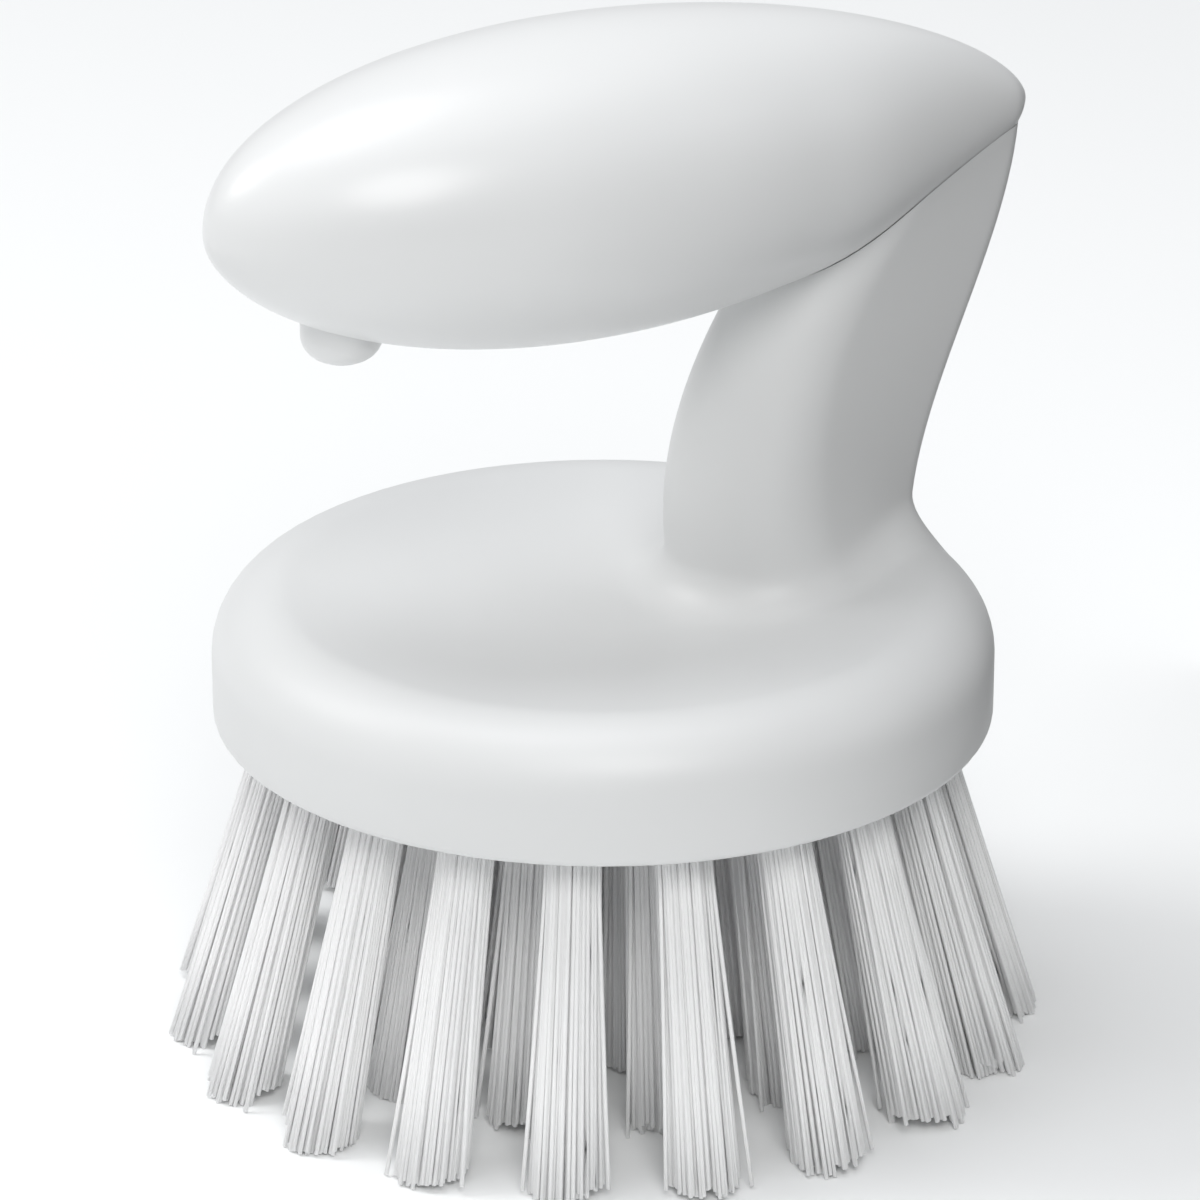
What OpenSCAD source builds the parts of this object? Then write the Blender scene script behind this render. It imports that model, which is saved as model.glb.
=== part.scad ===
// Palm-held vegetable brush: a dished round head carries splayed bristle tufts below,
// and a curved neck rises from its back edge to a seed-shaped palm grip over the head.
// Millimetres. The head's axis is Z, the neck stands towards +X and the grip reaches to -X.
// The bristle tips rest on Z = 0.

/* [Head] */
// Diameter of the round head
head_d = 72; // [64:1:84]
// Height of the rolled rim above the head's underside
head_h = 12.1; // [11.5:0.1:15]
// Radius of the rolled rim
rim_r = 6; // [5:0.5:7]
// Depth of the dish below the top of the rim
dish_depth = 3; // [1:0.5:3.5]
// Rounding of the head's bottom edge
edge_r = 0.8; // [0.4:0.1:1.5]
// Thickness of the head's wall round the bristle plate
wall = 2.6; // [2:0.1:3.5]
// Radius of the groove that cores out the rim from below
rim_core_r = 3; // [1.5:0.25:3]

/* [Neck] */
// How far the neck's outer edge stands in from the head's wall, at the level of the rim
neck_inset = 3.8; // [3.4:0.1:5]
// Depth of the neck from its inner to its outer edge, at its foot
neck_depth_foot = 24.4; // [20:0.1:26]
// Depth of the neck from its inner to its outer edge, under the grip
neck_depth_top = 20.4; // [17:0.1:22]
// How far the neck's outer edge stops short of the grip's tail
tail_inset = 1.4; // [1:0.1:4]
// Width of the neck at its foot
neck_w_foot = 17.9; // [14:0.1:20]
// Width of the neck under the grip
neck_w_top = 13; // [11:0.1:15]
// Radius of the neck's narrow back edge
neck_back_r = 2.9; // [2:0.1:4]
// Fillet between the neck's foot and the head
foot_fillet = 3; // [1.5:0.1:3.2]

/* [Palm grip] */
// Length of the grip from its blunt front to its tail
grip_len = 82.6; // [74:0.1:90]
// How far the grip's front stands out from the head's axis
grip_front = 38.8; // [34:0.1:39]
// Height of the grip's centre line above the head's underside, at its front
grip_z_front = 51.5; // [48:0.5:58]
// Height of the grip's centre line above the head's underside, at its tail
grip_z_tail = 52.6; // [50:0.1:58]
// Height of the grip's crown above its centre line
grip_crown = 14.3; // [12:0.1:17]
// Depth of the grip's belly below its centre line
grip_belly = 14.5; // [12:0.1:17]
// Full width of the grip
grip_w = 31.7; // [28:0.1:36]

/* [Joints between the pieces] */
// Diameter of the spigot on the neck that enters the grip
spigot_d = 7; // [5:0.5:8]
// Length of the spigot above the neck's seat
spigot_len = 8; // [5:0.5:9]
// Radial clearance round the spigot
spigot_fit = 0.02; // [0.01:0.01:0.05]
// Gap between the neck's seat and the grip's underside
seat_gap = 0.08; // [0.06:0.01:0.15]
// Radial clearance round the plate, the tuft roots, the anchors and the peg
press_fit = 0.02; // [0.01:0.01:0.05]

/* [Peg] */
// Distance of the peg from the grip's front
peg_back = 12.7; // [11:0.1:16]
// Diameter of the peg's head
peg_d = 7.4; // [6:0.1:9]
// How far the peg's head stands out below the grip
peg_drop = 2.5; // [1.5:0.1:4]
// Rounding of the peg's head
peg_round = 2.4; // [1:0.1:2.8]
// Diameter of the peg's stem
peg_stem_d = 3.6; // [2.5:0.1:4.5]
// Length of the peg's stem inside the grip
peg_stem_len = 6; // [4:0.5:8]

/* [Bristle plate] */
// Thickness of the plate that holds the tufts
plate_t = 6; // [5:0.25:6.5]
// How far the plate's face is set into the head
plate_recess = 0.6; // [0.2:0.1:1]
// Diameter of a tuft hole
hole_d = 4.6; // [4:0.1:5]
// Depth of a tuft hole
hole_depth = 4.6; // [4:0.1:4.6]
// Thickness of the flat wire that anchors a tuft
anchor_t = 0.4; // [0.2:0.05:0.6]
// Height of an anchor
anchor_h = 1.8; // [1.2:0.1:2]
// Length of an anchor
anchor_len = 6; // [5.4:0.1:6.4]

/* [Tufts] */
// Height of the head's underside above the trimmed tips
trim_h = 31; // [24:0.5:38]
// Tufts in the outer ring
outer_count = 19; // [15:1:19]
// Radius of the outer ring at the plate's face
outer_ring_r = 28.6; // [27:0.1:29]
// Tufts in the middle ring
middle_count = 12; // [9:1:12]
// Radius of the middle ring at the plate's face
middle_ring_r = 19; // [18.5:0.1:19.5]
// Tufts in the inner ring
inner_count = 7; // [5:1:7]
// Radius of the inner ring at the plate's face
inner_ring_r = 9.6; // [9.3:0.1:10]
// Outward lean of the outer ring, in degrees
splay_angle = 15.8; // [10:0.1:18]
// Width of a strand where it leaves the plate
strand_root_w = 0.62; // [0.4:0.02:0.64]
// Width of a strand at its tip
strand_tip_w = 1.08; // [0.7:0.02:1.2]
// Width of a tuft at its tips
tuft_tip_d = 6.8; // [6:0.1:8]
// Unevenness of the tips before they are trimmed
ragged = 1.6; // [0:0.1:3]
// Depth that the trim takes off the longest strands
trim_cut = 0.5; // [0.2:0.1:1]

/* [Hidden] */
$fn = 96;

// Head
head_r = head_d / 2;
rim_x = head_r - rim_r;
rim_z = head_h - rim_r;
dish_z = head_h - dish_depth;
dish_rise = dish_z - rim_z;
// Radius of the dish that meets the rolled rim without a step
dish_r = (rim_x * rim_x + dish_rise * dish_rise - rim_r * rim_r) / (2 * (rim_r - dish_rise));
dish_centre_z = dish_z + dish_r;
dish_edge_x = rim_x * dish_r / (dish_r + rim_r);
pocket_r = head_r - wall;
pocket_h = plate_recess + plate_t;
plate_r = pocket_r - press_fit;
lead_in = 0.6;

// Neck
// Height at which the neck has its top section, inside the grip's outline
neck_top_z = grip_z_tail - 0.4 * grip_belly;
neck_out_foot = head_r - neck_inset;
neck_out_top = grip_len - grip_front - tail_inset;
neck_in_foot = neck_out_foot - neck_depth_foot;
neck_in_top = neck_out_top - neck_depth_top;
// How much of its lean each edge has at the foot, a third and two thirds up, and at the top
inner_lean = [0, 0.03, 0.37, 1];
outer_lean = [0, 0.2, 0.635, 1];
front_steps = 30;
side_steps = 8;
back_steps = 10;
neck_points = front_steps + back_steps + 2 * side_steps;
fillet_rings = 8;
shaft_rings = 12;
foot_step = 0.08;
foot_sink = 1.2;
seat_shares = [0.85, 0.7, 0.5, 0.25];

// Grip: how blunt each outline is at the front and at the tail
crown_taper = [0.47, 0.635];
belly_taper = [0.565, 0.665];
width_taper = [0.57, 0.8];
grip_stations = 56;
grip_sides = 64;
spigot_x = neck_in_top + 0.7 * neck_w_top;
peg_x = peg_back - grip_front;
peg_seat = 2.5;

// Tufts
plate_face_z = trim_h + plate_recess;
stub = 1.2;
tuft_fold = 0.9;
middle_splay = splay_angle * middle_ring_r / outer_ring_r;
inner_splay = splay_angle * inner_ring_r / outer_ring_r;
core_strands = 4;
core_share = 0.47;
shell_strands = 7;
strands = 1 + core_strands + shell_strands;
quad_corners = [[1, 1], [-1, 1], [-1, -1], [1, -1]];

function ring_names(stem, count) = [for (i = [1:count]) str(stem, i)];

// Surface of the head

// Height of the head's top surface at distance r from the axis
function head_top(r) =
    r < dish_edge_x
    ? dish_centre_z - sqrt(dish_r * dish_r - r * r)
    : rim_z + sqrt(max(0, rim_r * rim_r - (r - rim_x) * (r - rim_x)));

// Surface of the grip

// Outline from 0 at both ends to 1 at its fullest, for t from the front to the tail
function outline(t, taper) =
    let (fullest = taper[0] / (taper[0] + taper[1]))
    pow(t / fullest, taper[0]) * pow((1 - t) / (1 - fullest), taper[1]);
function grip_axis_z(t) = grip_z_front + (grip_z_tail - grip_z_front) * t;

// Point of the grip at share t of its length and angle a round it
function grip_point(t, a) = [
    grip_len * t - grip_front,
    grip_w / 2 * outline(t, width_taper) * cos(a),
    grip_axis_z(t) + (sin(a) > 0 ? grip_crown * outline(t, crown_taper)
                                 : grip_belly * outline(t, belly_taper)) * sin(a)
];

// Height of the grip's underside over a point of the head's plane
function grip_under(x, y) =
    let (t = min(0.999, max(0.001, (x + grip_front) / grip_len)))
    let (across = y / (grip_w / 2 * outline(t, width_taper)))
    grip_axis_z(t) - grip_belly * outline(t, belly_taper) * sqrt(max(0, 1 - across * across));

// Surface of the neck

// Cubic through four values, evenly spaced from v = 0 to v = 1
function through(values, v) =
    values[0] * (1 - 3 * v) * (2 - 3 * v) * (1 - v) / 2
    + values[1] * 9 * v * (2 - 3 * v) * (1 - v) / 2
    + values[2] * 9 * v * (3 * v - 1) * (1 - v) / 2
    + values[3] * v * (3 * v - 1) * (3 * v - 2) / 2;

// Teardrop section at height z: [centre and radius of the round front, centre and radius of the back]
function neck_section(z) =
    let (v = (z - head_h) / (neck_top_z - head_h))
    let (r = (neck_w_foot + (neck_w_top - neck_w_foot) * v) / 2)
    let (inner = neck_in_foot + (neck_in_top - neck_in_foot) * through(inner_lean, v))
    let (outer = neck_out_foot + (neck_out_top - neck_out_foot) * through(outer_lean, v))
    [inner + r, r, outer - neck_back_r, neck_back_r];

// Point j of a section, as [x, y, normal x, normal y], counted round from the near front corner
function neck_point(j, s) =
    let (corner = 90 - asin((s[1] - s[3]) / (s[2] - s[0])))
    let (front = [s[0] + s[1] * cos(corner), s[1] * sin(corner)])
    let (back = [s[2] + s[3] * cos(corner), s[3] * sin(corner)])
    j <= front_steps
    ? let (a = corner + (360 - 2 * corner) * j / front_steps)
      [s[0] + s[1] * cos(a), s[1] * sin(a), cos(a), sin(a)]
    : j < front_steps + side_steps
    ? let (k = (j - front_steps) / side_steps)
      [front[0] + (back[0] - front[0]) * k, -front[1] - (back[1] - front[1]) * k, cos(corner), -sin(corner)]
    : j <= front_steps + side_steps + back_steps
    ? let (a = -corner + 2 * corner * (j - front_steps - side_steps) / back_steps)
      [s[2] + s[3] * cos(a), s[3] * sin(a), cos(a), sin(a)]
    : let (k = (j - front_steps - side_steps - back_steps) / side_steps)
      [back[0] + (front[0] - back[0]) * k, back[1] + (front[1] - back[1]) * k, cos(corner), sin(corner)];

// Height at which the foot fillet leaves the wall at point j
function fillet_top(j, z, passes) =
    passes == 0 ? z
    : let (p = neck_point(j, neck_section(z)))
      fillet_top(j, head_top(norm([p[0], p[1]])) + foot_fillet, passes - 1);

// Height at which the wall at point j meets the grip's underside
function seat_height(j, z, passes) =
    passes == 0 ? z
    : let (p = neck_point(j, neck_section(z)))
      seat_height(j, grip_under(p[0], p[1]) - seat_gap, passes - 1);

// Point j of the foot fillet, a from 0 at the wall to 90 on the head
function foot_point(j, a) =
    let (p = neck_point(j, neck_section(fillet_top(j, head_h, 4))))
    let (out = foot_fillet * (1 - cos(a)))
    let (x = p[0] + p[2] * out)
    let (y = p[1] + p[3] * out)
    [x, y, head_top(norm([x, y])) + foot_step + (foot_fillet - foot_step) * (1 - sin(a))];

function neck_rings() =
    let (foot = [for (j = [0:neck_points - 1]) foot_point(j, 90)])
    let (low = [for (j = [0:neck_points - 1]) fillet_top(j, head_h, 4)])
    let (high = [for (j = [0:neck_points - 1]) seat_height(j, neck_top_z, 12)])
    let (top = [for (j = [0:neck_points - 1])
        let (p = neck_point(j, neck_section(high[j]))) [p[0], p[1], high[j]]])
    let (seat_x = neck_section(neck_top_z)[0])
    concat(
        [[for (p = foot) [p[0], p[1], p[2] - foot_sink]]],
        [for (k = [0:fillet_rings - 1])
            [for (j = [0:neck_points - 1]) foot_point(j, 90 - 90 * k / fillet_rings)]],
        [for (k = [0:shaft_rings - 1])
            [for (j = [0:neck_points - 1])
                let (z = low[j] + (high[j] - low[j]) * k / shaft_rings)
                let (p = neck_point(j, neck_section(z))) [p[0], p[1], z]]],
        [top],
        [for (share = seat_shares)
            [for (p = top)
                let (x = seat_x + (p[0] - seat_x) * share)
                let (y = p[1] * share) [x, y, grip_under(x, y) - seat_gap]]]
    );

// Skin over rings of points

// Closed skin over rings of n points each, with a point at either end
module skin(rings, start, end) {
    n = len(rings[0]);
    count = len(rings);
    points = concat([start], [for (ring = rings) each ring], [end]);
    bands = [for (k = [0:count - 2]) for (j = [0:n - 1])
        let (a = 1 + k * n + j)
        let (b = 1 + k * n + (j + 1) % n)
        each [[a, a + n, b], [b, a + n, b + n]]];
    caps = [for (j = [0:n - 1])
        each [[0, 1 + j, 1 + (j + 1) % n],
              [1 + count * n, 1 + (count - 1) * n + (j + 1) % n, 1 + (count - 1) * n + j]]];
    polyhedron(points, concat(bands, caps), convexity = 6);
}

// Pieces of the head

module head_profile() {
    difference() {
        union() {
            square([head_r - edge_r, rim_z]);
            translate([0, edge_r])
                square([head_r, rim_z - edge_r]);
            translate([head_r - edge_r, edge_r])
                circle(edge_r);
            translate([rim_x, rim_z])
                circle(rim_r);
            difference() {
                polygon([[0, 0], [rim_x, rim_z], [0, dish_centre_z]]);
                translate([0, dish_centre_z])
                    circle(dish_r, $fn = 720);
            }
        }
        square([pocket_r, pocket_h]);
        translate([rim_x - rim_core_r / 4, pocket_h])
            circle(rim_core_r);
    }
}

module neck() {
    rings = neck_rings();
    seat_x = neck_section(neck_top_z)[0];
    foot_x = (neck_in_foot + neck_out_foot) / 2;
    skin(rings, [foot_x, 0, head_top(foot_x) - foot_sink],
        [seat_x, 0, grip_under(seat_x, 0) - seat_gap]);
}

module spigot(extra) {
    seat_z = grip_under(spigot_x, 0);
    translate([spigot_x, 0, seat_z - spigot_len])
        cylinder(r = spigot_d / 2 + extra, h = 2 * spigot_len + 5 * extra);
}

module brush_body() {
    color("whitesmoke")
        translate([0, 0, trim_h]) {
            rotate_extrude()
                head_profile();
            neck();
            spigot(0);
        }
}

// Grip and peg

module grip_skin() {
    rings = [for (k = [1:grip_stations - 1])
        let (t = (1 - cos(180 * k / grip_stations)) / 2)
        [for (j = [0:grip_sides - 1]) grip_point(t, 360 * j / grip_sides)]];
    skin(rings, [-grip_front, 0, grip_z_front], [grip_len - grip_front, 0, grip_z_tail]);
}

module peg_shape(extra) {
    under = grip_under(peg_x, 0);
    translate([peg_x, 0, under - peg_drop]) {
        rotate_extrude() {
            translate([0, peg_round])
                square([peg_d / 2 + extra, peg_drop + peg_seat - peg_round]);
            square([peg_d / 2 - peg_round, peg_round]);
            intersection() {
                translate([peg_d / 2 - peg_round, peg_round])
                    circle(peg_round);
                square([peg_d, peg_drop + peg_seat]);
            }
        }
        cylinder(d = peg_stem_d + 2 * extra, h = peg_drop + peg_seat + peg_stem_len + 5 * extra);
    }
}

module palm_grip() {
    color("white")
        translate([0, 0, trim_h])
            difference() {
                grip_skin();
                spigot(spigot_fit);
                peg_shape(press_fit);
            }
}

module grip_peg() {
    color("white")
        translate([0, 0, trim_h])
            peg_shape(0);
}

// Bristle plate, anchors and tufts

// Puts its children at a hole's mouth, with +Z going down the hole
module at_hole(r, angle, splay) {
    rotate([0, 0, angle])
        translate([r, 0, plate_face_z])
            rotate([0, -splay, 0])
                children();
}

module at_every_hole() {
    at_hole(0, 0, 0)
        children();
    for (i = [1:inner_count])
        at_hole(inner_ring_r, inner_angle(i), inner_splay)
            children();
    for (i = [1:middle_count])
        at_hole(middle_ring_r, middle_angle(i), middle_splay)
            children();
    for (i = [1:outer_count])
        at_hole(outer_ring_r, outer_angle(i), splay_angle)
            children();
}

// Each ring is laid out evenly to both sides of the brush's middle plane
function inner_angle(i) = 360 * (i - 1) / inner_count;
function middle_angle(i) = 360 * (i - 0.5) / middle_count;
function outer_angle(i) = 180 + 360 * (i - 1) / outer_count;

module anchor(extra) {
    translate([-anchor_t / 2 - extra, -anchor_len / 2 - extra, hole_depth - tuft_fold - anchor_h - extra])
        cube([anchor_t + 2 * extra, anchor_len + 2 * extra, anchor_h + 2 * extra]);
}

module bristle_plate() {
    color("gainsboro")
        difference() {
            translate([0, 0, plate_face_z]) {
                cylinder(r = plate_r, h = plate_t - lead_in);
                translate([0, 0, plate_t - lead_in])
                    cylinder(r1 = plate_r, r2 = plate_r - lead_in, h = lead_in);
            }
            at_every_hole()
                translate([0, 0, -hole_d])
                    cylinder(d = hole_d, h = hole_depth + hole_d);
            at_every_hole()
                anchor(press_fit);
        }
}

module tuft_anchors() {
    color("silver")
        at_every_hole()
            anchor(0);
}

// Where strand i stands in its tuft: its share of the outer strands' radius and its turn
function strand_place(i) =
    i == 0 ? [0, 0]
    : i <= core_strands ? [core_share, 360 * i / core_strands]
    : [1, 360 * i / shell_strands];

// Height of strand i's end in tuft k: uneven ends, the longest trimmed level at Z = 0
function strand_end(i, k) = i == 0 ? 0 : max(0, ragged * ((5 * i + 3 * k) % 7) / 6 - trim_cut);

// Corner of a strand of width w at distance run below the hole's mouth
function strand_corner(place, corner, spread, w, run, r, splay) =
    let (out = place[0] * spread + corner[0] * w / 2)
    let (side = corner[1] * w / 2)
    let (across = out * cos(place[1]) - side * sin(place[1]))
    [r + run * sin(splay) + across * cos(splay),
     out * sin(place[1]) + side * cos(place[1]),
     plate_face_z - run * cos(splay) + across * sin(splay)];

// Point of the line from a to b at height z
function at_height(a, b, z) = a + (b - a) * (a[2] - z) / (a[2] - b[2]);

module strand(i, k, r, splay) {
    root_spread = (hole_d - 1.6 * strand_root_w) / 2;
    tip_spread = (tuft_tip_d - 1.2 * strand_tip_w) / 2;
    run = plate_face_z / cos(splay);
    place = strand_place(i);
    root = [for (c = quad_corners) strand_corner(place, c, root_spread, strand_root_w, 0, r, splay)];
    far = [for (c = quad_corners) strand_corner(place, c, tip_spread, strand_tip_w, run, r, splay)];
    tip = [for (c = [0:3]) at_height(root[c], far[c], strand_end(i, k))];
    polyhedron(concat(root, tip), [[0, 2, 1], [0, 3, 2], [4, 5, 6], [4, 6, 7],
        [0, 1, 4], [1, 5, 4], [1, 2, 5], [2, 6, 5], [2, 3, 6], [3, 7, 6], [3, 0, 7], [0, 4, 7]]);
}

module tuft(k, r, angle, splay) {
    color("snow") {
        difference() {
            at_hole(r, angle, splay)
                translate([0, 0, -stub])
                    cylinder(r = hole_d / 2 - press_fit, h = hole_depth + stub - press_fit);
            at_hole(r, angle, splay)
                anchor(press_fit);
        }
        rotate([0, 0, angle])
            for (i = [0:strands - 1])
                strand(i, k, r, splay);
    }
}

brush_body();
bristle_plate();
palm_grip();
grip_peg();
tuft_anchors();
tuft(0, 0, 0, 0);  // tuft_centre
for (i = [1:inner_count])
    tuft(i, inner_ring_r, inner_angle(i), inner_splay);
for (i = [1:middle_count])
    tuft(i, middle_ring_r, middle_angle(i), middle_splay);
for (i = [1:outer_count])
    tuft(i, outer_ring_r, outer_angle(i), splay_angle);
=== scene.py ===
import math
import random

import bpy
from mathutils import Matrix, Vector


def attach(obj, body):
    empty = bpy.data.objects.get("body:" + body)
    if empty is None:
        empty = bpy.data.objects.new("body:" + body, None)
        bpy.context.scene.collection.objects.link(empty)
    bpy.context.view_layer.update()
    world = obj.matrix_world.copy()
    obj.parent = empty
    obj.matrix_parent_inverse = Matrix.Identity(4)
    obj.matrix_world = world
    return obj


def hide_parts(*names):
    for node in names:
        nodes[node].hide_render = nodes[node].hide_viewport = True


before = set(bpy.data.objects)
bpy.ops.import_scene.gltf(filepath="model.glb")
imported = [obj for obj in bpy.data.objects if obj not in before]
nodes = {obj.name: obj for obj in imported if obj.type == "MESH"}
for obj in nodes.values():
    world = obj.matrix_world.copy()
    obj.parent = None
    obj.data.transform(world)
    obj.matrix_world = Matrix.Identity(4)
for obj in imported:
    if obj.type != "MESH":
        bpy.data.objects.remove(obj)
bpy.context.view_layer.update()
mm = 0.001
print("frame loaded:", len(nodes), "nodes")


# helpers

def deselectAll():
    if bpy.context.object and bpy.context.object.mode != "OBJECT":
        bpy.ops.object.mode_set(mode="OBJECT")
    bpy.ops.object.select_all(action="DESELECT")


def pick(obj):
    deselectAll()
    obj.select_set(True)
    bpy.context.view_layer.objects.active = obj


def linearColour(hexCode):
    # sRGB hex to the linear values that a shader takes
    out = []
    for i in (0, 2, 4):
        c = int(hexCode[i:i + 2], 16) / 255
        out.append(c / 12.92 if c <= 0.04045 else ((c + 0.055) / 1.055) ** 2.4)
    return (*out, 1.0)


def addNode(tree, kind, settings=None, links=None):
    # settings: socket or property values, links: input socket name -> (node, output socket name)
    node = tree.nodes.new(kind)
    for key, value in (settings or {}).items():
        if key in node.inputs:
            node.inputs[key].default_value = value
        else:
            setattr(node, key, value)
    for key, (source, output) in (links or {}).items():
        tree.links.new(source.outputs[output], node.inputs[key])
    return node


def newMaterial(name):
    mat = bpy.data.materials.new(name)
    mat.use_nodes = True
    mat.node_tree.nodes.clear()
    return mat, mat.node_tree


# camera, at the photograph's angle: a long lens from the front left, looking a little down

photoCamera = {
    "azimuth": -28.0,      # degrees round from the -Y side
    "elevation": 22.66,
    "distance": 576 * mm,
    "lens": 188.2,
    "aim": (-0.25 * mm, 0.14 * mm, 41.44 * mm),
}

azimuth = math.radians(photoCamera["azimuth"])
elevation = math.radians(photoCamera["elevation"])
backward = Vector((math.sin(azimuth) * math.cos(elevation), -math.cos(azimuth) * math.cos(elevation),
                   math.sin(elevation)))
deselectAll()
bpy.ops.object.camera_add(location=Vector(photoCamera["aim"]) + backward * photoCamera["distance"])
camera = bpy.context.object
camera.name = "photoCamera"
camera.rotation_euler = (-backward).to_track_quat("-Z", "Y").to_euler()
camera.data.lens = photoCamera["lens"]
camera.data.sensor_width = 36
camera.data.clip_start = 0.01
camera.data.clip_end = 20
bpy.context.scene.camera = camera
print("camera placed")


# floor and studio light

studio = {
    "floorSize": 6.0,       # m
    "floorColour": "F4F5F5",
    "floorRoughness": 0.9,
    "skyColour": "FAFBFD",
    "skyStrength": 0.25,
    "lampAim": (0, 0, 0.05),
    "displayGamma": 1.25,
    # name, place and size in m, power in W, colour
    "lamps": [
        ("overheadSoftbox", (-0.18, 0.22, 0.90), 0.6, 3.1, "FAFCFF"),
        ("topSoftbox", (0.0, 0.0, 1.0), 0.8, 1.8, "FAFCFF"),
        ("frontSoftbox", (-0.28, -0.72, 0.76), 0.5, 4.3, "FFFFFE"),
        ("backSoftbox", (-0.55, 0.42, 0.62), 0.4, 2.5, "FFFFFE"),
        ("rightSoftbox", (0.65, -0.45, 0.50), 0.4, 0.9, "FAFCFF"),
    ],
}

bpy.ops.mesh.primitive_plane_add(size=studio["floorSize"])
floor = bpy.context.object
floor.name = "studioFloor"
floorMat, floorTree = newMaterial("paintedPlywoodStudioWhite")
floorShader = addNode(floorTree, "ShaderNodeBsdfPrincipled",
                      {"Base Color": linearColour(studio["floorColour"]),
                       "Roughness": studio["floorRoughness"]})
addNode(floorTree, "ShaderNodeOutputMaterial", links={"Surface": (floorShader, "BSDF")})
floor.data.materials.append(floorMat)

for lampName, place, size, power, colour in studio["lamps"]:
    bpy.ops.object.light_add(type="AREA", location=place)
    lamp = bpy.context.object
    lamp.name = lampName
    lamp.data.shape = "DISK"
    lamp.data.size = size
    lamp.data.energy = power
    lamp.data.color = linearColour(colour)[:3]
    lamp.rotation_euler = (Vector(place) - Vector(studio["lampAim"])).to_track_quat("Z", "Y").to_euler()

# a black card at the right that the camera doesn't see: it keeps the floor's light off that side
flag = {"place": (0.0574, -0.0305, 0.065), "size": (0.16, 0.13), "turn": 62, "colour": "202020"}

deselectAll()
bpy.ops.mesh.primitive_plane_add(size=1, location=flag["place"],
                                 rotation=(math.radians(90), 0, math.radians(flag["turn"])))
card = bpy.context.object
card.name = "flagCard"
card.scale = (*flag["size"], 1)
bpy.ops.object.transform_apply(location=True, rotation=True, scale=True)
card.visible_camera = False
card.visible_shadow = False    # the lamps shine through it
cardMat, cardTree = newMaterial("feltBlack")
cardShader = addNode(cardTree, "ShaderNodeBsdfPrincipled",
                     {"Base Color": linearColour(flag["colour"]), "Roughness": 1.0})
addNode(cardTree, "ShaderNodeOutputMaterial", links={"Surface": (cardShader, "BSDF")})
card.data.materials.append(cardMat)

world = bpy.context.scene.world or bpy.data.worlds.new("studioSky")
bpy.context.scene.world = world
world.use_nodes = True
world.node_tree.nodes.clear()
sky = addNode(world.node_tree, "ShaderNodeBackground",
              {"Color": linearColour(studio["skyColour"]), "Strength": studio["skyStrength"]})
addNode(world.node_tree, "ShaderNodeOutputWorld", links={"Surface": (sky, "Background")})

# plain display curve, softened a little, so that the floor comes out white as in a catalogue picture
display = bpy.context.scene.view_settings
display.view_transform = "Standard"
display.gamma = studio["displayGamma"]
print("studio lit")


# materials

def mouldedPolypropylene(name, hexCode, roughness):
    # white polypropylene, injection moulded in a satin mould: soft wide highlights and a faint waviness
    settings = {
        "cloudSize": 18.0,      # mm, slow change of tone from flow and cooling
        "grainSize": 0.35,      # mm, the mould's fine satin texture
        "grainDepth": 0.004,    # mm
        "grainStrength": 0.25,
        "cloudTone": 0.975,     # the darker clouds, as a share of the colour
        "cloudRoughness": 0.03,
        "cloudEdges": (0.3, 0.7),
    }
    low, high = settings["cloudEdges"]
    mat, tree = newMaterial(name)
    place = addNode(tree, "ShaderNodeTexCoord")
    clouds = addNode(tree, "ShaderNodeTexNoise",
                     {"Scale": 1 / (settings["cloudSize"] * mm), "Detail": 2.0, "Roughness": 0.4},
                     {"Vector": (place, "Object")})
    base = Vector(linearColour(hexCode)[:3])
    tone = addNode(tree, "ShaderNodeValToRGB", links={"Fac": (clouds, "Fac")})
    tone.color_ramp.elements[0].position = low
    tone.color_ramp.elements[0].color = (*(base * settings["cloudTone"]), 1)
    tone.color_ramp.elements[1].position = high
    tone.color_ramp.elements[1].color = (*base, 1)
    grain = addNode(tree, "ShaderNodeTexNoise",
                    {"Scale": 1 / (settings["grainSize"] * mm), "Detail": 1.0},
                    {"Vector": (place, "Object")})
    rough = addNode(tree, "ShaderNodeMapRange",
                    {"From Min": low, "From Max": high, "To Min": roughness - settings["cloudRoughness"],
                     "To Max": roughness + settings["cloudRoughness"]},
                    {"Value": (clouds, "Fac")})
    bump = addNode(tree, "ShaderNodeBump",
                   {"Strength": settings["grainStrength"], "Distance": settings["grainDepth"] * mm},
                   {"Height": (grain, "Fac")})
    shader = addNode(tree, "ShaderNodeBsdfPrincipled", {"IOR": 1.49},
                     {"Base Color": (tone, "Color"), "Roughness": (rough, "Result"),
                      "Normal": (bump, "Normal")})
    addNode(tree, "ShaderNodeOutputMaterial", links={"Surface": (shader, "BSDF")})
    return mat


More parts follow.
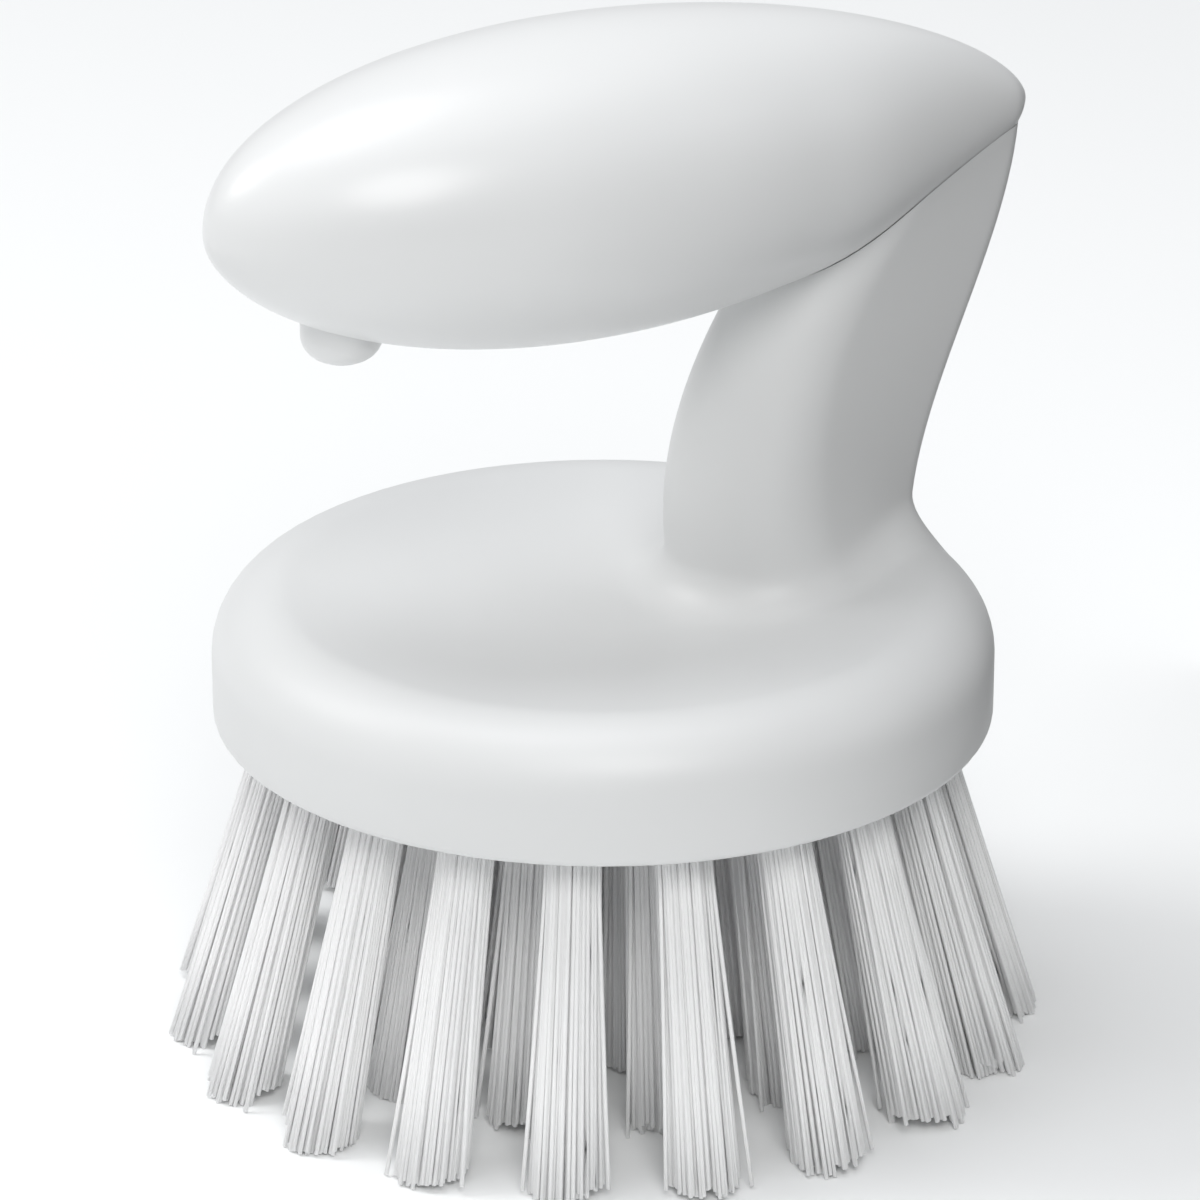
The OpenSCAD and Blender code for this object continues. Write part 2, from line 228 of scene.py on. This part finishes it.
def drawnNylonFilament(name, hexCode):
    # nylon filament, extruded and drawn: light seeps through its skin, and soft streaks run along it
    settings = {
        "streakWidth": 0.7,     # mm, wider than one filament so that they show
        "streakLength": 30.0,   # mm
        "streakTone": 0.965,    # the darker streaks, as a share of the colour
        "streakEdges": (0.3, 0.7),
        "seepDepth": 0.05,      # mm
    }
    mat, tree = newMaterial(name)
    place = addNode(tree, "ShaderNodeTexCoord")
    stretch = addNode(tree, "ShaderNodeMapping",
                      {"Scale": (1, 1, settings["streakWidth"] / settings["streakLength"])},
                      {"Vector": (place, "Object")})
    streaks = addNode(tree, "ShaderNodeTexNoise",
                      {"Scale": 1 / (settings["streakWidth"] * mm), "Detail": 1.0},
                      {"Vector": (stretch, "Vector")})
    base = Vector(linearColour(hexCode)[:3])
    tone = addNode(tree, "ShaderNodeValToRGB", links={"Fac": (streaks, "Fac")})
    tone.color_ramp.elements[0].position = settings["streakEdges"][0]
    tone.color_ramp.elements[0].color = (*(base * settings["streakTone"]), 1)
    tone.color_ramp.elements[1].position = settings["streakEdges"][1]
    tone.color_ramp.elements[1].color = (*base, 1)
    shader = addNode(tree, "ShaderNodeBsdfPrincipled",
                     {"Roughness": 0.4, "IOR": 1.53, "Subsurface Weight": 1.0,
                      "Subsurface Radius": (1.0, 1.0, 1.0), "Subsurface Scale": settings["seepDepth"] * mm},
                     {"Base Color": (tone, "Color")})
    addNode(tree, "ShaderNodeOutputMaterial", links={"Surface": (shader, "BSDF")})
    return mat


def drawnSteelWire(name, hexCode):
    # stainless wire, rolled flat: fine lines along it that spread the light
    settings = {"lineWidth": 0.05, "roughness": (0.3, 0.45)}   # mm
    smooth, dull = settings["roughness"]
    mat, tree = newMaterial(name)
    place = addNode(tree, "ShaderNodeTexCoord")
    lines = addNode(tree, "ShaderNodeTexNoise", {"Scale": 1 / (settings["lineWidth"] * mm)},
                    {"Vector": (place, "Object")})
    rough = addNode(tree, "ShaderNodeMapRange", {"To Min": smooth, "To Max": dull}, {"Value": (lines, "Fac")})
    shader = addNode(tree, "ShaderNodeBsdfPrincipled",
                     {"Base Color": linearColour(hexCode), "Metallic": 1.0},
                     {"Roughness": (rough, "Result")})
    addNode(tree, "ShaderNodeOutputMaterial", links={"Surface": (shader, "BSDF")})
    return mat


bodyPlastic = mouldedPolypropylene("whitePolypropyleneMoulded", "DADBDB", 0.42)
gripPlastic = mouldedPolypropylene("whitePolypropyleneSmooth", "DFE0E0", 0.3)
platePlastic = mouldedPolypropylene("whitePolypropylenePlate", "DADBDB", 0.5)
filamentNylon = drawnNylonFilament("whiteNylonDrawn", "FEFEFE")
anchorSteel = drawnSteelWire("stainlessWireRolled", "B9B9B6")


def dress(obj, mat):
    obj.data.materials.clear()
    obj.data.materials.append(mat)


dress(nodes["bristle_plate"], platePlastic)
dress(nodes["grip_peg"], gripPlastic)
dress(nodes["tuft_anchors"], anchorSteel)
print("materials made")


# the two mouldings: each starts as a flat grid that is bent round into a closed skin
# lengths in mm, heights from the head's underside

body = {
    "underside": 31.0,
    "headRadius": 36.0,
    "headHeight": 12.1,
    "rimRadius": 6.0,
    "dishDepth": 3.0,
    "edgeRadius": 0.8,
    "pocketRadius": 33.4,
    "pocketDepth": 6.6,
    "neckTop": 46.8,
    # neck edges at the foot and at the top: inner, outer, width
    "foot": (7.8, 32.2, 17.9),
    "top": (22.0, 42.4, 13.0),
    "innerLean": (0, 0.03, 0.37, 1),
    "outerLean": (0, 0.2, 0.635, 1),
    "backRadius": 2.9,
    "footBlend": 4.0,
    "blendPull": 0.55,      # how far the blend's curve follows the neck and the head, as a share of its size
    "blendMargin": 0.7,     # the blend ends at least this far inside the head's wall
    "blendStep": 0.02,
    "slopeStep": 0.05,
    "leanStep": 0.5,
    "seam": 0.12,
    "frontSteps": 60,
    "sideSteps": 14,
    "backSteps": 24,
    "seatShares": (0.4, 0.75, 1.0),
    "shaftRows": 26,
    "blendRows": 12,
    "headRows": 84,
    "headSamples": 160,
    "edgeRows": 4,
    "plastic": bodyPlastic,
    "sharpFrom": 32,        # degrees
}

grip = {
    "length": 82.6,
    "front": 38.8,
    "axisFront": 51.5,
    "axisTail": 52.6,
    "crown": 14.3,
    "belly": 14.5,
    "width": 31.7,
    # how blunt each outline is at the front and at the tail
    "crownTaper": (0.47, 0.635),
    "bellyTaper": (0.565, 0.665),
    "widthTaper": (0.57, 0.8),
    # belly and sides end in a wedge with a rounded tail: size at the end, slope
    "bellyWedge": (2.4, 35.5),
    "sideWedge": (2.1, 38.5),
    "tailRounding": 0.03,
    "wedgeFrom": 0.36,      # share of the length where the wedge begins, counted from the tail
    "wedgeOver": 0.22,      # and over how much of it the two shapes mix
    "stations": 80,
    "sides": 96,
    "plastic": gripPlastic,
    "sharpFrom": 50,        # degrees
}


def bendGrid(name, columns, rows, spot):
    # the last column meets the first one, spot(i, j) is where a corner goes
    deselectAll()
    bpy.ops.mesh.primitive_grid_add(x_subdivisions=columns, y_subdivisions=rows, size=1)
    piece = bpy.context.object
    piece.name = name
    for v in piece.data.vertices:
        x, y, z = spot(round((v.co.x + 0.5) * columns) % columns, round((v.co.y + 0.5) * rows))
        v.co = Vector((x, y, z + body["underside"])) * mm
    bpy.ops.object.mode_set(mode="EDIT")
    bpy.ops.mesh.select_all(action="SELECT")
    bpy.ops.mesh.remove_doubles(threshold=0.0005 * mm)
    bpy.ops.mesh.normals_make_consistent(inside=False)
    bpy.ops.object.mode_set(mode="OBJECT")
    return piece


# grip surface

def outline(t, taper):
    # 0 at both ends, 1 where the grip is fullest
    fullest = taper[0] / (taper[0] + taper[1])
    return (t / fullest) ** taper[0] * ((1 - t) / (1 - fullest)) ** taper[1]


def blunted(t, plain, wedge):
    # the plain outline, changed towards the tail into a wedge that ends round
    left = 1 - t
    blunt = (wedge[0] + wedge[1] * left) * math.sqrt(max(0, 1 - max(0, 1 - left / grip["tailRounding"]) ** 2))
    mix = min(1, max(0, (grip["wedgeFrom"] - left) / grip["wedgeOver"]))
    return plain + (blunt - plain) * mix * mix * (3 - 2 * mix)


def bellyDepth(t):
    return blunted(t, grip["belly"] * outline(t, grip["bellyTaper"]), grip["bellyWedge"])


def halfWidth(t):
    return blunted(t, grip["width"] / 2 * outline(t, grip["widthTaper"]), grip["sideWedge"])


def gripAxis(t):
    return grip["axisFront"] + (grip["axisTail"] - grip["axisFront"]) * t


def gripSpot(i, j):
    t = (1 - math.cos(math.pi * j / grip["stations"])) / 2
    a = 2 * math.pi * i / grip["sides"]
    depth = grip["crown"] * outline(t, grip["crownTaper"]) if math.sin(a) > 0 else bellyDepth(t)
    return grip["length"] * t - grip["front"], halfWidth(t) * math.cos(a), gripAxis(t) + depth * math.sin(a)


def gripUnder(x, y):
    # height of the grip's underside above x, y
    t = min(0.999, max(0.001, (x + grip["front"]) / grip["length"]))
    across = y / halfWidth(t)
    return gripAxis(t) - bellyDepth(t) * math.sqrt(max(0, 1 - across * across))


# head and neck surface
# the dish is part of a sphere that runs smoothly into the round of the rim

rimX = body["headRadius"] - body["rimRadius"]
rimZ = body["headHeight"] - body["rimRadius"]
dishRise = body["rimRadius"] - body["dishDepth"]
dishRadius = (rimX ** 2 + dishRise ** 2 - body["rimRadius"] ** 2) / (2 * (body["rimRadius"] - dishRise))
dishEdge = rimX * dishRadius / (dishRadius + body["rimRadius"])


def headTop(x, y):
    r = math.hypot(x, y)
    if r < dishEdge:
        return body["headHeight"] - body["dishDepth"] + dishRadius - math.sqrt(dishRadius ** 2 - r * r)
    return rimZ + math.sqrt(max(0, body["rimRadius"] ** 2 - (r - rimX) ** 2))


def through(values, v):
    # cubic through four values, evenly spaced
    return (values[0] * (1 - 3 * v) * (2 - 3 * v) * (1 - v) / 2
            + values[1] * 9 * v * (2 - 3 * v) * (1 - v) / 2
            + values[2] * 9 * v * (3 * v - 1) * (1 - v) / 2
            + values[3] * v * (3 * v - 1) * (3 * v - 2) / 2)


def wallSpot(i, z):
    # point i of the neck's teardrop section at height z, with the way it faces
    v = (z - body["headHeight"]) / (body["neckTop"] - body["headHeight"])
    r = (body["foot"][2] + (body["top"][2] - body["foot"][2]) * v) / 2
    inner = body["foot"][0] + (body["top"][0] - body["foot"][0]) * through(body["innerLean"], v)
    outer = body["foot"][1] + (body["top"][1] - body["foot"][1]) * through(body["outerLean"], v)
    back = body["backRadius"]
    corner = math.pi / 2 - math.asin((r - back) / (outer - back - inner - r))
    front, sides, turn = body["frontSteps"], body["sideSteps"], body["backSteps"]
    if i <= front or i >= front + 2 * sides + turn:
        a, share = corner + (2 * math.pi - 2 * corner) * min(i, front) / front, 0
    elif i < front + sides:
        a, share = -corner, (i - front) / sides
    elif i <= front + sides + turn:
        a, share = -corner + 2 * corner * (i - front - sides) / turn, 1
    else:
        a, share = corner, 1 - (i - front - sides - turn) / sides
    x = inner + r + (outer - back - inner - r) * share + (r + (back - r) * share) * math.cos(a)
    return Vector((x, (r + (back - r) * share) * math.sin(a), z)), Vector((math.cos(a), math.sin(a), 0))


def evenly(points, count):
    # the same line, in count equal steps
    runs = [0]
    for a, b in zip(points, points[1:]):
        runs.append(runs[-1] + (b - a).length)
    out, k = [], 0
    for n in range(1, count + 1):
        want = runs[-1] * n / count
        while k < len(points) - 2 and runs[k + 1] < want:
            k += 1
        share = (want - runs[k]) / (runs[k + 1] - runs[k])
        out.append(points[k].lerp(points[k + 1], min(1, share)))
    return out


seatX = wallSpot(0, body["neckTop"])[0].x


def columnLine(i):
    # from the middle of the seat, down the neck, out over the head and back into the pocket
    # the heights where the neck meets grip and head depend on x, so they are closed in on
    high = body["neckTop"]
    for attempt in range(12):
        spot = wallSpot(i, high)[0]
        high = gripUnder(spot.x, spot.y) - body["seam"]
    edge = wallSpot(i, high)[0]
    line = [Vector((seatX, 0, gripUnder(seatX, 0) - body["seam"]))]
    for share in body["seatShares"]:
        x, y = seatX + (edge.x - seatX) * share, edge.y * share
        line.append(Vector((x, y, gripUnder(x, y) - body["seam"])))
    line[-1] = edge
    low = body["headHeight"]
    for attempt in range(4):
        spot, facing = wallSpot(i, low)
        low = headTop(spot.x, spot.y) + body["footBlend"]
    for k in range(1, body["shaftRows"] + 1):
        line.append(wallSpot(i, high + (low - high) * k / body["shaftRows"])[0])
    spot, facing = wallSpot(i, low)
    width = body["footBlend"]
    limit = body["headRadius"] - body["blendMargin"]
    while math.hypot(spot.x + facing.x * width, spot.y + facing.y * width) > limit:
        width -= body["blendStep"]
    land = spot + facing * width
    land.z = headTop(land.x, land.y)
    beyond = land + facing * body["slopeStep"]
    beyond.z = headTop(beyond.x, beyond.y)
    slope = (beyond - land).normalized()
    lean = (spot - wallSpot(i, low + body["leanStep"])[0]).normalized()
    bend1 = spot + lean * body["footBlend"] * body["blendPull"]
    bend2 = land - slope * width * body["blendPull"]
    for k in range(1, body["blendRows"] + 1):
        f = k / body["blendRows"]
        line.append(spot * (1 - f) ** 3 + bend1 * 3 * f * (1 - f) ** 2 + bend2 * 3 * f * f * (1 - f)
                    + land * f ** 3)
    middle = Vector(((body["foot"][0] + body["foot"][1]) / 2, 0, 0))
    away = land - middle
    away.z = 0
    away.normalize()
    along = land.x * away.x + land.y * away.y
    reach = -along + math.sqrt(along ** 2 + body["headRadius"] ** 2 - land.x ** 2 - land.y ** 2)
    over = [land]
    samples = body["headSamples"]
    for k in range(1, samples + 1):
        p = land + away * reach * (1 - (1 - k / samples) ** 2)
        p.z = headTop(p.x, p.y)
        over.append(p)
    line += evenly(over, body["headRows"])
    out = Vector((line[-1].x, line[-1].y, 0)).normalized()
    edgeR = body["edgeRadius"]
    rings = [(body["headRadius"], (rimZ + edgeR) / 2)]
    for k in range(body["edgeRows"] + 1):
        a = math.radians(90 / body["edgeRows"] * k)
        rings.append((body["headRadius"] - edgeR + edgeR * math.cos(a), edgeR - edgeR * math.sin(a)))
    rings += [(body["pocketRadius"], 0), (body["pocketRadius"], body["pocketDepth"]),
              (0, body["pocketDepth"])]
    for r, z in rings:
        line.append(out * r + Vector((0, 0, z)))
    return line


columns = body["frontSteps"] + 2 * body["sideSteps"] + body["backSteps"]
lines = [columnLine(i) for i in range(columns)]
headAndNeck = bendGrid("headAndNeck", columns, len(lines[0]) - 1, lambda i, j: lines[i][j])
palmGrip = bendGrid("palmGrip", grip["sides"], grip["stations"], gripSpot)

for piece, plan, node, slotName in ((headAndNeck, body, "brush_body", "body_plastic"),
                                    (palmGrip, grip, "palm_grip", "grip_plastic")):
    pick(piece)
    bpy.ops.object.shade_smooth_by_angle(angle=math.radians(plan["sharpFrom"]))
    dress(piece, plan["plastic"])
    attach(piece, "root")
    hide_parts(node)
print("mouldings bent:", len(headAndNeck.data.vertices), len(palmGrip.data.vertices))


# tufts: one filament is modelled, tufts are grown from copies of it and then copied round their ring

tuftPlan = {
    "faceHeight": 31.6,     # mm, the bristle plate's face above the tips
    "holeRadius": 2.25,     # mm
    "tipRadius": 3.3,
    "intoHole": 3.0,
    "filaments": 280,
    "filamentRadius": 0.21,
    "goldenAngle": 137.508, # degrees, spreads the filaments evenly over the hole
    "rootJitter": 0.15,     # radians
    "tipJitter": 0.07,      # mm
    "bow": 0.2,             # share of the spread that comes late, towards the tips
    "sides": 5,
    "segments": 4,
    "clumps": 7,            # filaments that end together
    "ragged": 1.5,          # mm, how much shorter than the trim a clump can be
    "clumpBias": 1.5,       # more than 1: most clumps reach nearly to the trim
    "endSpread": (-0.15, 0.25),
    "strays": 3,
    "strayReach": (1.12, 1.4),
    "splay": 15.8,          # degrees, of the outer ring
    "splayRadius": 28.6,    # mm, where the splay is that much
    "patternStep": 5,       # neighbours in a ring get different tufts
    # name, count, radius in mm, first angle, how many different tufts are made for the ring
    "rings": [("tuft_centre", 1, 0.0, 0.0, 1), ("tuft_inner_", 7, 9.6, 0.0, 2),
              ("tuft_middle_", 12, 19.0, 15.0, 3), ("tuft_outer_", 19, 28.6, 180.0, 6)],
}

deselectAll()
bpy.ops.mesh.primitive_circle_add(vertices=tuftPlan["sides"], radius=tuftPlan["filamentRadius"] * mm,
                                  fill_type="NGON")
filament = bpy.context.object
filament.name = "filamentPattern"
bpy.ops.object.mode_set(mode="EDIT")
bpy.ops.mesh.select_all(action="SELECT")
for step in range(tuftPlan["segments"]):
    bpy.ops.mesh.extrude_region_move(TRANSFORM_OT_translate={"value": (0, 0, -1 / tuftPlan["segments"])})
bpy.ops.mesh.select_all(action="SELECT")
bpy.ops.mesh.normals_make_consistent(inside=False)
bpy.ops.object.mode_set(mode="OBJECT")
bpy.ops.object.shade_smooth()


def growTuft(ringRadius, splay, seed):
    # filaments leave the hole close together and spread to the tips, which are trimmed level
    dice = random.Random(seed)
    out = Vector((1, 0, 0))
    side = Vector((0, 1, 0))
    down = out * math.sin(splay) - Vector((0, 0, math.cos(splay)))
    across = out * math.cos(splay) + Vector((0, 0, math.sin(splay)))
    mouth = out * ringRadius * mm + Vector((0, 0, tuftPlan["faceHeight"] * mm))
    whole = tuftPlan["faceHeight"] * mm / math.cos(splay)
    start = -tuftPlan["intoHole"] * mm
    clumps = []
    for n in range(tuftPlan["clumps"]):
        clumpSpot = Vector((dice.uniform(-1, 1), dice.uniform(-1, 1))) * tuftPlan["tipRadius"] * mm
        clumps.append((clumpSpot, dice.random() ** tuftPlan["clumpBias"]))
    jitter = tuftPlan["tipJitter"]
    bow = tuftPlan["bow"]
    copies = []
    for i in range(tuftPlan["filaments"]):
        share = math.sqrt((i + 0.5) / tuftPlan["filaments"])
        angle = (i * math.radians(tuftPlan["goldenAngle"])
                 + dice.uniform(-tuftPlan["rootJitter"], tuftPlan["rootJitter"]))
        root = Vector((math.cos(angle), math.sin(angle))) * share * tuftPlan["holeRadius"] * mm
        tip = root * tuftPlan["tipRadius"] / tuftPlan["holeRadius"]
        tip += Vector((dice.gauss(0, jitter), dice.gauss(0, jitter))) * mm
        nearest = min(clumps, key=lambda clump: (clump[0] - tip).length)
        shortness = nearest[1] + dice.uniform(*tuftPlan["endSpread"])
        endHeight = tuftPlan["ragged"] * mm * max(0, shortness)
        if i >= tuftPlan["filaments"] - tuftPlan["strays"]:
            tip *= dice.uniform(*tuftPlan["strayReach"])
        reach = whole
        for attempt in range(3):
            drift = root.x + (tip.x - root.x) * reach / whole
            reach = (tuftPlan["faceHeight"] * mm - endHeight + drift * math.sin(splay)) / math.cos(splay)
        strand = bpy.data.objects.new("strand", filament.data.copy())
        bpy.context.scene.collection.objects.link(strand)
        for v in strand.data.vertices:
            run = start + (reach - start) * -v.co.z
            way = max(0.0, run / whole)
            spot = root + (tip - root) * ((1 - bow) * way + bow * way * way)
            v.co = mouth + down * run + across * (spot.x + v.co.x) + side * (spot.y + v.co.y)
            v.co.z = max(v.co.z, 0.0)
        copies.append(strand)
    deselectAll()
    for strand in copies:
        strand.select_set(True)
    bpy.context.view_layer.objects.active = copies[0]
    bpy.ops.object.join()
    return bpy.context.object


for ringName, count, ringRadius, first, kinds in tuftPlan["rings"]:
    splay = math.radians(tuftPlan["splay"]) * ringRadius / tuftPlan["splayRadius"]
    patterns = [growTuft(ringRadius, splay, count * 100 + n) for n in range(kinds)]
    for i in range(count):
        node = ringName + str(i + 1) if count > 1 else ringName
        pattern = patterns[i * tuftPlan["patternStep"] % kinds]
        tuft = bpy.data.objects.new("filaments_" + node, pattern.data.copy())
        bpy.context.scene.collection.objects.link(tuft)
        tuft.data.transform(Matrix.Rotation(math.radians(first + 360 * i / count), 4, "Z"))
        dress(tuft, filamentNylon)
        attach(tuft, "root")
        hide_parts(node)
    for pattern in patterns:
        bpy.data.objects.remove(pattern)
bpy.data.objects.remove(filament)
print("tufts grown")


print("scene built")
